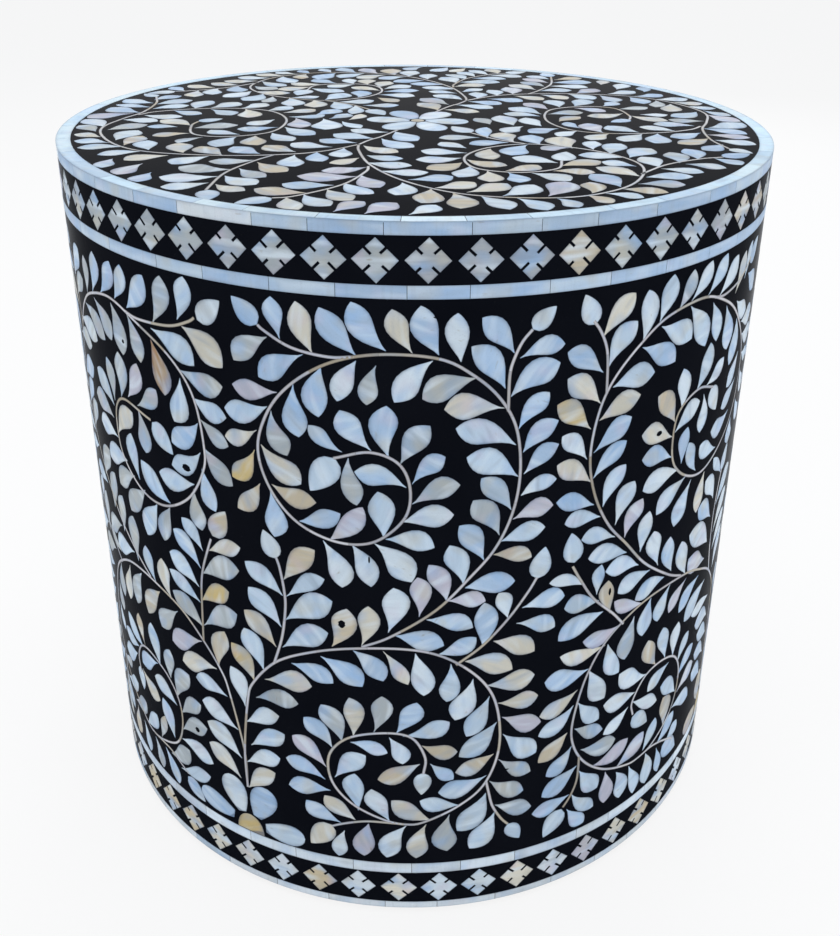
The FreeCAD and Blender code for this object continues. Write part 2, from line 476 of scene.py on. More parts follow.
def strip_band(name, place, low, high, shades):
    band = Inlay()
    starts = GIRTH * (np.arange(STRIP_COUNT) + chance.random()) / STRIP_COUNT
    starts += chance.uniform(-STRIP_WANDER, STRIP_WANDER, STRIP_COUNT)
    ends = np.append(starts[1:], starts[0] + GIRTH)
    middle = (low + high) / 2
    half = (high - low) / 2
    for start, end in zip(starts, ends):
        count = max(LEAST_POINTS, round((end - start) / STRIP_STEP))
        line = np.linspace(start, end - STRIP_JOINT, count)
        spine = np.column_stack([line, np.full(count, middle)])
        band.lay(spine, half, half, place, pick_tint(shades), butted=True)
    band.piece(name + "_shell", strip_shell, "mother_of_pearl", [name])


strip_shell = shell_finish("shell_strips", 0.4, 0.14, grain=(0.5, 0.04, 1.0), rim=(6, 0.35))
for name, (low, high, shades) in SIDE_BANDS.items():
    strip_band(name, SidePlace(), low, high, shades)
strip_band("top_rim_strips", RimPlace(), RIM_INNER, RIM_OUTER, PAINTED_GLARE_RIM_SHADES)

# Lozenge borders
# A row of shell lozenges round the side inside the top edge and the bottom edge, each with a
# short saw cut in the middle of each of its four sides, filled black like the ground.

LOZENGE_COUNT = 56
LOZENGE_WIDTH = 22.6
LOZENGE_GAP = 0.4
LOZENGE_PITCH = GIRTH / LOZENGE_COUNT
UPPER_SHADES = {GREY: 5, (160, 166, 172): 3, LILAC: 2, CREAM: 1, TAN: 2}
LOWER_SHADES = {LIGHT_STRIP: 3, LILAC: 1, (212, 208, 194): 7, WHITE: 2, (204, 190, 160): 3}
LOZENGE_BORDERS = {
    "upper_lozenges": (418.9, 442.4, 1.4, UPPER_SHADES),
    "lower_lozenges": (5.8, 29.8, 3.9, LOWER_SHADES),
}
LOZENGE_LIGHT_SPREAD = 0.06
CORNER_WANDER = 0.35
CUT_PLACE = (0.45, 0.55)
CUT_DEPTH = 3.9
CUT_RANGE = (0.7, 1.3)
CUT_WIDTH = 1.45
INNER_RING = 0.5
INNER_SPREAD = 2.2
# The inner ring's edge mark, for the painted shade towards a lozenge's edge.
INNER_EDGE = 0.3


def lozenge_rings(half_width, half_height):
    """Corners and saw cuts, counter-clockwise from the right corner, and a ring inside them."""
    corners = np.array([(half_width, 0), (0, half_height), (-half_width, 0), (0, -half_height)])
    corners = corners + chance.uniform(-CORNER_WANDER, CORNER_WANDER, corners.shape)
    outer = []
    inner = []
    for corner, follow in zip(corners, np.roll(corners, -1, axis=0)):
        side = (follow - corner) / np.linalg.norm(follow - corner)
        inward = np.array([-side[1], side[0]])
        middle = corner + (follow - corner) * chance.uniform(*CUT_PLACE)
        mouth = side * CUT_WIDTH / 2
        end = middle + inward * CUT_DEPTH * chance.uniform(*CUT_RANGE)
        outer += [corner, middle - mouth, end - mouth, end + mouth, middle + mouth]
        near = INNER_RING * (middle + end) / 2
        spread = INNER_SPREAD * mouth
        inner += [INNER_RING * corner, near - spread, INNER_RING * (end - mouth),
                  INNER_RING * (end + mouth), near + spread]
    return np.array(inner), np.array(outer)


def lay_lozenge(border, centre, outlines, place, tint):
    number, colour = new_shell(tint, LOZENGE_LIGHT_SPREAD)
    middle = border.add(place(*centre), (*colour, 0.0), (0, 0, number))
    rings = []
    for outline, edge in zip(outlines, (INNER_EDGE, 1.0)):
        ring = []
        for offset in outline:
            ring.append(border.add(place(*(centre + offset)), (*colour, edge), (*offset, number)))
        rings.append(ring)
    inner, outer = rings
    for spot, start in enumerate(inner):
        follow = (spot + 1) % len(inner)
        border.faces.append([middle, start, inner[follow]])
        border.faces.append([start, outer[spot], outer[follow], inner[follow]])
    border.close(outer, place)


lozenge_shell = shell_finish("shell_lozenges", 0.8, 0.2, rim=(12, 0.4))
for name, (low, high, turn, shades) in LOZENGE_BORDERS.items():
    border = Inlay()
    for number in range(LOZENGE_COUNT):
        centre = np.array([number * LOZENGE_PITCH, (low + high) / 2])
        outlines = lozenge_rings(LOZENGE_WIDTH / 2, (high - low) / 2 - LOZENGE_GAP)
        lay_lozenge(border, centre, outlines, SidePlace(turn), pick_tint(shades))
    border.piece(name + "_shell", lozenge_shell, "mother_of_pearl", [name])

# Side flowers
# Four half flowers that stand on the lower line, one on each mirror axis of the vine: a tan arch
# as the button, two upright petals and two lying ones. A half is named by its flower and its hand.

FLOWER_AXES = (-27.5, 66.9, 155.433, 243.967)
HANDS = (1, -1)
FIRST_RIGHT = (0, 1)
FIRST_LEFT = (0, -1)
SECOND_RIGHT = (1, 1)
SECOND_LEFT = (1, -1)
ARCH_FOOT = 38.8
ARCH_TOP = 53.0
ARCH_HALF = 10.0
ARCH_POWER = 2.2
ARCH_END = 0.0009
ARCH_STATIONS = np.array([0, 0.25, 0.5, 0.68, 0.8, 0.89, 0.95, 0.985, 1.0])
# Each petal by its foot, its tip, its width, and the foot's share of the width.
UPRIGHT_PETAL = ((5.6, 53.0), (14.6, 80.0), 19.4, 0.3)
LYING_PETAL = ((11.6, 46.6), (39.0, 47.6), 16.8, 0.42)
RAISED_PETAL = ((12.6, 47.0), (41.0, 52.6), 16.8, 0.42)
PETAL_STATIONS = np.array([0, 0.12, 0.25, 0.4, 0.55, 0.68, 0.78, 0.86, 0.92, 0.97, 1.0])
PETAL_END = 0.0004
SHOULDER = 0.62
PETAL_SHADES = {BLUE: 1, PALE: 3, WHITE: 4}
TAN_PETAL_SHADES = {TAN: 1, CREAM: 1}


def round_end(stations, least, power=2):
    """Half widths up to a round end, as a share of the widest; the least keeps the end open."""
    return np.sqrt(np.maximum(1 - stations ** power, least))


def petal_shape(foot, tip, width, foot_share):
    """A petal's spine, and its half widths from a narrow foot out to a round head."""
    foot = np.array(foot)
    spine = foot + PETAL_STATIONS[:, None] * (np.array(tip) - foot)
    flare = np.sin(0.5 * math.pi * np.clip(PETAL_STATIONS / SHOULDER, 0, 1))
    neck = foot_share + (1 - foot_share) * flare
    head = np.clip((PETAL_STATIONS - SHOULDER) / (1 - SHOULDER), 0, 1)
    return spine, width / 2 * (neck * round_end(head, PETAL_END))


def lay_petal(flower, petal, place, tint):
    spine, half = petal_shape(*petal)
    flower.lay(spine, half, half, place, tint)


leaf_shell = shell_finish("shell_leaves", 0.6, 0.08)
tan_shell = shell_finish("shell_tan", 0.3, 0.2)
petals = Inlay()
arches = Inlay()
arch_half = ARCH_HALF * round_end(ARCH_STATIONS, ARCH_END, ARCH_POWER)
arch_rise = ARCH_FOOT + (ARCH_TOP - ARCH_FOOT) * ARCH_STATIONS
arch_spine = np.column_stack([np.zeros(len(arch_rise)), arch_rise])
for number, axis in enumerate(FLOWER_AXES):
    for hand in HANDS:
        lying = RAISED_PETAL if (number, hand) == FIRST_LEFT else LYING_PETAL
        shades = TAN_PETAL_SHADES if (number, hand) == SECOND_LEFT else PETAL_SHADES
        for petal in (UPRIGHT_PETAL, lying):
            lay_petal(petals, petal, SidePlace(axis, hand), pick_tint(shades))
    arches.lay(arch_spine, arch_half, arch_half, SidePlace(axis), GOLD)
petals.piece("side_flower_petals_shell", leaf_shell, "mother_of_pearl", ["side_flower_petals"])
arches.piece("side_flower_buttons_shell", tan_shell, "tan_pearl", ["side_flower_buttons"])

# Side vine stems
# Slim curved slips of darker shell, butted end to end into scrolls. One half of a repeat is drawn
# from the flower's axis to the mirror axis on its right, and goes round the drum eight times. Two
# halves in front stray from the drawing, and the hidden flowers' halves follow the first flower's.

HALF_REPEAT = 185.4
HIDDEN_FLOWERS = (2, 3)
STEM_WIDTH = 1.7
STEM_STEP = 2.5
CURVE_STEPS = 12
SLIP_STEPS = (9, 16)
SHORT_SLIP = 4
SLIP_JOINT = 0.06
LEAF_SINK = -0.03
LEFT_STEM_SINK = LEAF_SINK / 3
STEM_SHADES = {
    (180, 179, 185): 3, (193, 192, 199): 3, (166, 156, 138): 1, (203, 202, 207): 2, (186, 178, 162): 1,
}
SIDE_STEMS = [
    [(0, 76), (0, 107), (5, 147), (10, 162), (26, 182), (47, 194), (71, 201), (100, 203), (122, 198),
     (141, 184), (153, 166), (158, 142), (157, 119), (149, 98), (134, 84), (114, 73), (104, 71), (90, 74),
     (70, 85), (58, 101), (57, 121), (69, 136), (90, 142), (106, 139), (114, 124), (113, 111)],
    [(103, 71), (91, 72), (80, 72), (71, 70), (63, 67), (57, 64)],
    [(151, 101), (153, 91), (155, 82), (158, 75), (162, 68), (166, 63)],
    [(131, 191), (146, 203), (160, 219), (171, 235), (176, 244)],
    [(25, 181), (31, 201), (34, 221), (34, 233), (32, 248), (30, 255)],
    [(78, 203), (94, 211), (119, 229), (137, 249), (151, 267), (160, 289), (163, 313), (160, 338),
     (151, 356), (137, 370), (119, 380), (90, 382), (65, 376), (44, 362), (30, 344), (23, 321), (29, 298),
     (44, 280), (66, 271), (86, 273), (102, 288), (105, 306), (99, 321), (84, 327), (65, 322)],
    [(155, 349), (155, 369), (157, 378), (161, 387), (166, 393)],
    [(77, 380), (64, 379), (45, 382), (31, 389), (27, 392)],
]
STRAY_REACH = 7.0
STRAY_FALL = -1.5
# Points of the drawing, and how far each of them lies from its place in the drawing.
STRAYS = {
    FIRST_LEFT: [
        (0, 76, 0, 0), (5, 147, 4, 0), (10, 162, 5, 0), (26, 182, 3, -3), (47, 194, 0, 0), (71, 201, 0, 0),
        (100, 203, -6, -1), (122, 198, -9, -1), (141, 184, -8, 0), (153, 166, -9, 0), (58, 101, 0, -4),
        (70, 85, -4, -7), (90, 74, -4, -6), (57, 121, 2, -5), (69, 136, 1, -5), (90, 142, 0, -4),
        (106, 139, -2, -4), (114, 124, -2, -1), (63, 67, 0, -7), (31, 201, -5, -2), (34, 221, -9, -2),
        (34, 233, -12, -1), (32, 248, -15, -2), (30, 255, -17, 0), (23, 271, -23, 4), (64, 379, -6, -3),
        (45, 382, -13, -2), (31, 389, -13, -4), (27, 392, -16, -3), (13, 405, -20, -4), (119, 380, 0, -4),
        (90, 382, 0, 0), (65, 376, -1, 0), (44, 362, -10, 0), (30, 344, -12, -1), (23, 321, -10, -7),
        (29, 298, -14, 0), (44, 280, -15, -4), (66, 271, -14, -8), (86, 273, -10, -8), (102, 288, -6, -8),
        (105, 306, -5, -8), (99, 321, -2, -8), (84, 327, 1, -6), (65, 322, -8, -5), (185, 300, 0, 0),
        (185, 200, 0, 0), (185, 100, 0, 0),
    ],
    SECOND_LEFT: [
        (151, 267, 0, 0), (160, 289, 2, 0), (163, 313, 4, 0), (160, 338, 4, 0), (151, 356, 5, 1),
        (137, 370, 3, 4), (119, 380, 1, 6), (90, 382, 0, 7), (65, 376, 1, 5), (44, 362, 1, 6),
        (66, 271, 0, 0), (86, 273, 0, 3), (102, 288, -1, 1), (105, 306, 0, 0), (99, 321, 3, 3),
        (84, 327, 0, 5), (65, 322, 1, 5), (30, 344, -6, 0), (23, 321, -7, 0), (29, 298, -6, -3),
        (155, 369, 6, 0), (161, 387, 6, 0), (166, 393, 5, 0), (178, 404, 1, 2), (146, 203, -5, 0),
        (160, 219, -3, 0), (171, 235, -4, 0), (176, 244, -3, 2), (180, 263, -3, 5), (26, 182, 3, -4),
        (47, 194, 2, -4), (71, 201, 0, -2), (100, 203, 0, -1), (122, 198, 1, 0), (141, 184, 3, 1),
        (153, 166, 3, 0), (158, 142, 5, 0), (157, 119, 8, 0), (149, 98, 8, 0), (134, 84, 5, -3),
        (114, 73, 3, -1), (104, 71, 0, 0), (90, 74, 0, 0), (70, 85, 3, 1), (58, 101, 7, 0), (57, 121, 8, 0),
        (69, 136, 5, 0), (90, 142, 0, 0), (106, 139, 0, 0), (114, 124, 3, 0), (113, 111, 2, 2),
        (112, 95, -6, 2), (80, 72, 0, -4), (71, 70, 0, -7), (57, 64, 4, -7), (153, 91, 4, -1),
        (158, 75, 2, 0), (166, 63, 1, 0),
    ],
}


def smooth_line(knots, step):
    """Even points along a smooth curve through a few knots."""
    knots = np.array(knots, float)
    run_on = np.vstack([2 * knots[0] - knots[1], knots, 2 * knots[-1] - knots[-2]])
    share = np.linspace(0, 1, CURVE_STEPS, endpoint=False)[:, None]
    fine = []
    for before, start, end, after in zip(run_on, run_on[1:], run_on[2:], run_on[3:]):
        slope = end - before
        bend = 2 * before - 5 * start + 4 * end - after
        twist = 3 * start - before - 3 * end + after
        fine.append(0.5 * (2 * start + slope * share + bend * share ** 2 + twist * share ** 3))
    fine = np.vstack([*fine, knots[-1:]])
    run = run_along(fine)
    even = np.linspace(0, run[-1], max(LEAST_POINTS, round(run[-1] / step) + 1))
    return np.column_stack([np.interp(even, run, fine[:, 0]), np.interp(even, run, fine[:, 1])])


def lay_stem(stems, line, place, shades):
    """A scroll in slips of uneven length, with a hair joint after each."""
    last = len(line) - 1
    start = 0
    while start < last:
        end = min(last, start + int(chance.integers(*SLIP_STEPS)))
        if last - end < SHORT_SLIP:
            end = last
        slip = line[start:end + 1].copy()
        slip[-1] += SLIP_JOINT * (slip[-2] - slip[-1])
        stems.lay(slip, STEM_WIDTH / 2, STEM_WIDTH / 2, place, pick_tint(shades), butted=True)
        start = end


def side_halves():
    """Each half repeat by flower and hand, with the drawing it follows and its place on the drum."""
    count = len(FLOWER_AXES)
    for number, axis in enumerate(FLOWER_AXES):
        to_right = (FLOWER_AXES[(number + 1) % count] - axis) % 360 / 2
        to_left = (axis - FLOWER_AXES[number - 1]) % 360 / 2
        for hand, span in zip(HANDS, (to_right, to_left)):
            stretch = hand * math.radians(span) * FACE_RADIUS / HALF_REPEAT
            drawing = (0 if number in HIDDEN_FLOWERS else number, hand)
            yield (number, hand), drawing, axis, stretch


def strayed(points, drawing):
    """Points of the drawing as they lie in one half, where each goes with the strays near it."""
    points = np.array(points, float)
    if drawing not in STRAYS:
        return points
    strays = np.array(STRAYS[drawing], float)
    gaps = np.sum((points[:, None] - strays[None, :, :2]) ** 2, axis=2) + STRAY_REACH ** 2
    weights = gaps ** STRAY_FALL
    return points + weights @ strays[:, 2:] / weights.sum(axis=1)[:, None]


def side_lines(drawing):
    return [smooth_line(strayed(knots, drawing), STEM_STEP) for knots in SIDE_STEMS]


# Stems take a wide, strong edge shade: painted shade at both edges, so that the flat slips look round.
stem_shell = shell_finish("shell_stems", 0.3, 0.2, rim=(2, 0.75), edge_shade_colour=(84, 78, 74))
stems = Inlay()
for (number, hand), drawing, axis, stretch in side_halves():
    place = SidePlace(axis, stretch, 0 if hand > 0 else LEFT_STEM_SINK)
    for line in side_lines(drawing):
        lay_stem(stems, line, place, STEM_SHADES)
stems.piece("side_vine_stems", stem_shell, "mother_of_pearl")

# Side vine leaves and buds
# Leaves of shell with a fine point at the stem and a blunt one outward, a round bud at the end of
# each stem, and black worm holes in a few shells. Each has its place in the drawing of the half
# repeat, and the halves seen in front have leaves, tints and holes of their own.

LEAF_STATIONS = np.array([0, 0.1, 0.22, 0.35, 0.48, 0.6, 0.71, 0.81, 0.89, 0.95, 1.0])
LEAF_SHARE = 0.49
LEAF_BEND = (0.03, 0.08)
LEAF_FULLNESS = (0.92, 1.08)
LEAF_LEAN = (-0.02, 0.16)
LEAF_CROWN = (1.35, 1.9)
LEAF_BLUNT = (0.72, 0.92)
TIP_WANDER = 0.7
BUD_SHARE = 0.64
BUD_CROWN = 0.72
BUD_BLUNT = 0.8
HOLE_POINTS = 11
HOLE_END = 0.02
HOLE_WANDER = (0.8, 1.15)
CHIP_GAP = 0.35
TRIM = 0.95
TRIM_END = 0.975
MOST_TRIMS = 16
NECK = 2
EDGE = 0.2
LONGEST_LEAF = 34.0
BLACK = (12, 14, 20)
LEAF_SHADES = {PALE: 34, BLUE: 26, WHITE: 18, GREY: 9, CREAM: 5, LILAC: 5, TAN: 3}
PLAIN_SHADES = {PALE: 5, BLUE: 3, WHITE: 3}
DULL_SHADES = {PALE: 5, BLUE: 2, WHITE: 1, GREY: 3, CREAM: 1}
HALF_SHADES = {FIRST_RIGHT: PLAIN_SHADES, FIRST_LEFT: DULL_SHADES, SECOND_LEFT: PLAIN_SHADES}
# Each leaf and bud by its foot and its tip.
UPPER_EDGE_LEAVES = [
    (156, 357, 182, 373), (160, 378, 184, 383), (161, 338, 177, 357), (164, 324, 183, 340),
    (165, 311, 184, 326), (164, 298, 184, 305), (160, 284, 183, 289), (154, 271, 179, 276),
    (150, 263, 172, 258), (135, 243, 163, 244),
]
LOWER_EDGE_LEAVES = [
    (160, 219, 153, 240), (146, 202, 146, 232), (121, 199, 142, 209), (152, 205, 177, 193),
    (136, 193, 164, 183), (148, 174, 178, 176), (156, 160, 181, 160), (159, 149, 184, 139),
    (160, 136, 182, 116), (158, 117, 179, 102), (153, 101, 175, 88), (157, 81, 181, 73),
]
SIDE_LEAVES = [
    (39, 386, 35, 408), (56, 380, 48, 407), (78, 381, 60, 405), (93, 384, 76, 409), (32, 386, 12, 370),
    (51, 379, 26, 363), (36, 356, 10, 356), (30, 347, 4, 341), (23, 332, 3, 324), (21, 320, 6, 300),
    (23, 300, 8, 281), (29, 297, 30, 268), (58, 271, 68, 242), (74, 270, 84, 244), (86, 272, 106, 248),
    (78, 378, 68, 355), (88, 376, 83, 354), (60, 373, 58, 345), (45, 362, 47, 332), (32, 345, 40, 320),
    (25, 324, 47, 304), (30, 301, 55, 294), (45, 281, 68, 289), (62, 272, 80, 294), (91, 276, 88, 304),
    (103, 307, 76, 315), (73, 323, 77, 295), (70, 326, 52, 340), (85, 328, 69, 350), (94, 324, 93, 354),
    (100, 321, 115, 343), (106, 309, 123, 325), (106, 297, 131, 308), (101, 286, 128, 290),
    (92, 275, 118, 270), (106, 383, 96, 406), (119, 382, 110, 408), (130, 378, 128, 404),
    (157, 381, 140, 401), (153, 362, 135, 386), (116, 379, 97, 356), (138, 369, 111, 358),
    (153, 351, 122, 352), (160, 329, 128, 341), (162, 310, 134, 324), (159, 290, 142, 311),
    (153, 275, 138, 298), (145, 260, 131, 283), (134, 245, 126, 271), (125, 235, 115, 259),
    (110, 225, 109, 251), (93, 214, 96, 244),
    *UPPER_EDGE_LEAVES,
    (125, 235, 148, 233), (114, 223, 140, 216), (97, 212, 124, 205),
    *LOWER_EDGE_LEAVES,
    (157, 75, 142, 48), (151, 92, 134, 64), (129, 78, 128, 48), (115, 71, 109, 43), (103, 70, 91, 43),
    (80, 70, 77, 43), (65, 62, 61, 40), (63, 68, 41, 81), (72, 72, 53, 88), (57, 93, 30, 90),
    (54, 101, 29, 111), (55, 111, 34, 130), (59, 127, 42, 146), (65, 133, 53, 158), (72, 138, 70, 166),
    (84, 142, 89, 169), (97, 142, 109, 165), (101, 140, 128, 150), (112, 133, 133, 127),
    (117, 119, 131, 106), (93, 139, 101, 119), (111, 119, 86, 106), (70, 133, 92, 127), (60, 104, 79, 124),
    (74, 80, 72, 109), (93, 73, 82, 98), (118, 74, 94, 90), (135, 85, 111, 90), (151, 106, 122, 96),
    (155, 122, 132, 111), (156, 146, 134, 123), (151, 166, 138, 138), (141, 180, 131, 151),
    (128, 192, 126, 165), (108, 200, 113, 170), (90, 201, 104, 178), (73, 200, 90, 180), (54, 193, 78, 175),
    (36, 184, 61, 175), (18, 167, 48, 170), (11, 151, 39, 155), (2, 129, 26, 142), (5, 112, 29, 129),
    (1, 97, 25, 109), (1, 76, 21, 96), (18, 173, 6, 200), (27, 193, 7, 213), (31, 208, 11, 230),
    (33, 230, 10, 247), (31, 194, 59, 210), (34, 214, 62, 232), (35, 230, 58, 246), (34, 241, 53, 264),
    (61, 201, 70, 228), (78, 204, 82, 231),
]
MEETING_LEAVES = [(168, 225, 194, 227), (165, 215, 189, 207)]
LAID_LEAVES = {
    FIRST_RIGHT: [*SIDE_LEAVES, *MEETING_LEAVES, (3, 141, -6, 168), (11, 163, -4, 186)],
    SECOND_RIGHT: [*SIDE_LEAVES, *MEETING_LEAVES, (0, 140, 0, 167)],
    FIRST_LEFT: [
        (25, 385, 18, 410), (46, 378, 36, 407), (70, 381, 51, 404), (83, 383, 73, 405), (102, 381, 85, 404),
        (115, 378, 108, 404), (126, 374, 126, 397), (158, 376, 137, 398), (156, 364, 134, 380),
        (22, 382, -5, 364), (48, 375, 15, 361), (27, 356, -4, 353), (19, 342, -5, 335), (14, 330, -5, 318),
        (13, 313, -6, 294), (16, 299, 8, 274), (24, 284, 20, 258), (114, 375, 93, 355), (89, 379, 80, 350),
        (71, 378, 61, 351), (49, 368, 41, 337), (27, 351, 35, 323), (16, 327, 39, 309), (16, 309, 41, 294),
        (23, 287, 54, 285), (46, 267, 73, 286), (77, 271, 82, 300), (99, 294, 77, 315), (70, 320, 66, 293),
        (70, 322, 49, 338), (80, 324, 66, 349), (89, 321, 87, 350), (99, 315, 105, 341),
        (101, 311, 125, 327), (104, 302, 134, 307), (101, 290, 130, 290), (91, 278, 120, 270),
        (83, 271, 107, 256), (72, 266, 94, 243), (60, 261, 75, 234), (47, 264, 56, 238), (21, 244, 37, 261),
        (24, 231, 46, 250), (27, 217, 52, 232), (27, 206, 54, 219), (26, 188, 53, 204), (16, 246, -8, 255),
        (23, 228, -6, 239), (26, 208, 3, 222), (26, 190, -2, 208), (16, 164, 9, 192), (29, 177, 59, 164),
        (18, 161, 50, 153), (11, 143, 38, 146), (4, 120, 34, 130), (3, 98, 31, 115), (5, 81, 31, 98),
        (50, 190, 70, 169), (68, 196, 86, 171), (90, 199, 102, 170), (108, 196, 115, 166),
        (127, 188, 127, 161), (138, 168, 135, 145), (145, 146, 138, 127), (55, 197, 62, 223),
        (71, 201, 80, 224), (92, 207, 93, 239), (110, 220, 107, 247), (124, 231, 116, 259),
        (138, 248, 121, 273), (134, 366, 103, 352), (150, 352, 117, 347), (160, 338, 131, 339),
        (114, 222, 140, 209), (97, 211, 127, 202), (61, 118, 45, 144), (58, 107, 36, 125),
        (58, 94, 32, 108), (60, 85, 29, 81), (76, 63, 53, 79), (65, 57, 33, 68), (66, 131, 64, 154),
        (78, 135, 85, 164), (98, 139, 104, 161), (102, 136, 124, 151), (110, 131, 135, 132),
        (115, 122, 141, 111), (62, 111, 88, 120), (81, 134, 106, 120), (108, 114, 84, 102),
        (69, 80, 80, 107), (88, 69, 80, 92), (110, 67, 92, 85), (133, 71, 109, 84), (148, 82, 122, 92),
        (153, 97, 131, 106), (84, 63, 70, 40), (99, 62, 91, 40), (118, 63, 112, 40), (130, 68, 136, 41),
        (152, 84, 140, 58), (157, 75, 148, 46),
        *UPPER_EDGE_LEAVES,
        *LOWER_EDGE_LEAVES,
        (153, 275, 138, 298), (159, 290, 142, 311), (162, 310, 134, 324), (168, 229, 186, 239),
        (165, 214, 178, 217),
    ],
    SECOND_LEFT: [
        (165, 383, 146, 404), (160, 365, 143, 388), (138, 376, 137, 404), (127, 384, 119, 409),
        (112, 388, 102, 408), (102, 390, 85, 409), (86, 389, 68, 409), (73, 385, 52, 404),
        (50, 380, 39, 403), (36, 385, 27, 406), (163, 363, 185, 378), (163, 345, 184, 363),
        (168, 331, 189, 349), (169, 313, 185, 330), (165, 298, 187, 313), (162, 283, 186, 290),
        (157, 274, 180, 275), (145, 257, 169, 262), (135, 243, 163, 248), (124, 230, 150, 235),
        (113, 222, 139, 216), (98, 210, 124, 205), (117, 200, 141, 211), (165, 231, 187, 238),
        (155, 221, 153, 241), (144, 204, 147, 228), (152, 216, 179, 218), (149, 207, 179, 196),
        (135, 192, 162, 190), (145, 181, 177, 184), (156, 168, 186, 168), (163, 155, 188, 143),
        (165, 144, 188, 128), (168, 124, 187, 107), (164, 112, 181, 94), (159, 94, 183, 78),
        (163, 72, 189, 66), (164, 60, 150, 42), (161, 71, 143, 52), (157, 89, 141, 67), (135, 77, 134, 50),
        (125, 71, 120, 46), (113, 69, 106, 41), (96, 69, 93, 41), (83, 65, 78, 41), (84, 69, 64, 84),
        (73, 62, 51, 75), (125, 381, 98, 367), (138, 372, 111, 357), (156, 353, 127, 355),
        (163, 335, 136, 344), (165, 316, 141, 332), (164, 300, 143, 318), (156, 280, 142, 303),
        (146, 265, 134, 290), (138, 254, 126, 276), (124, 239, 119, 265), (106, 222, 113, 249),
        (91, 211, 96, 238), (73, 200, 82, 228), (43, 195, 70, 209), (42, 207, 73, 228), (42, 226, 65, 243),
        (41, 239, 59, 260), (31, 253, 50, 272), (105, 318, 122, 339), (100, 324, 102, 350),
        (86, 332, 76, 358), (75, 331, 55, 342), (106, 309, 132, 318), (104, 295, 130, 302),
        (96, 284, 127, 281), (87, 276, 113, 260), (80, 271, 94, 244), (63, 269, 68, 242),
        (104, 311, 81, 323), (77, 326, 77, 301), (94, 287, 91, 310), (76, 275, 88, 299), (50, 280, 74, 291),
        (34, 299, 61, 295), (27, 318, 49, 306), (28, 336, 44, 318), (41, 362, 45, 333), (61, 376, 53, 346),
        (79, 383, 70, 357), (102, 387, 83, 358), (45, 374, 22, 361), (123, 193, 128, 163),
        (109, 200, 114, 174), (90, 201, 100, 178), (70, 195, 88, 178), (50, 186, 75, 171),
        (35, 174, 65, 158), (20, 152, 54, 156), (15, 132, 44, 142), (10, 114, 36, 129), (12, 98, 37, 113),
        (13, 80, 40, 99), (143, 181, 132, 155), (156, 167, 142, 140), (162, 145, 145, 125),
        (163, 125, 141, 115), (157, 106, 129, 101), (146, 88, 117, 95), (126, 75, 101, 91),
        (100, 74, 89, 95), (78, 80, 82, 107), (105, 140, 131, 153), (115, 131, 142, 134),
        (120, 122, 140, 110), (96, 142, 107, 167), (86, 142, 92, 169), (76, 136, 73, 163),
        (68, 127, 55, 145), (65, 113, 43, 127), (63, 99, 38, 108), (68, 89, 40, 80), (80, 135, 102, 124),
        (66, 102, 87, 119), (116, 124, 90, 110), (28, 386, 7, 370), (31, 356, 3, 356), (24, 346, -3, 341),
        (17, 331, -4, 324), (14, 319, -2, 300), (16, 299, 0, 281), (23, 291, 22, 264), (18, 173, 4, 200),
        (27, 193, 4, 213), (31, 208, 6, 230), (33, 230, 6, 247),
    ],
}
SIDE_BUDS = [
    (113, 112, 112, 95), (57, 65, 43, 46), (166, 63, 174, 49), (176, 243, 180, 263), (30, 254, 23, 271),
    (66, 322, 52, 301), (166, 393, 178, 404), (27, 392, 13, 405),
]
LAID_BUDS = {
    FIRST_LEFT: [
        (12, 257, 1, 276), (10, 388, -6, 401), (56, 316, 39, 301), (112, 113, 110, 95), (58, 54, 41, 42),
        (166, 63, 174, 49), (176, 243, 180, 263), (166, 393, 178, 404),
    ],
    SECOND_LEFT: [
        (170, 391, 177, 408), (172, 248, 175, 268), (168, 62, 180, 43), (75, 61, 54, 46),
        (68, 327, 58, 309), (115, 111, 99, 98), (30, 254, 23, 271), (27, 392, 13, 405),
    ],
}
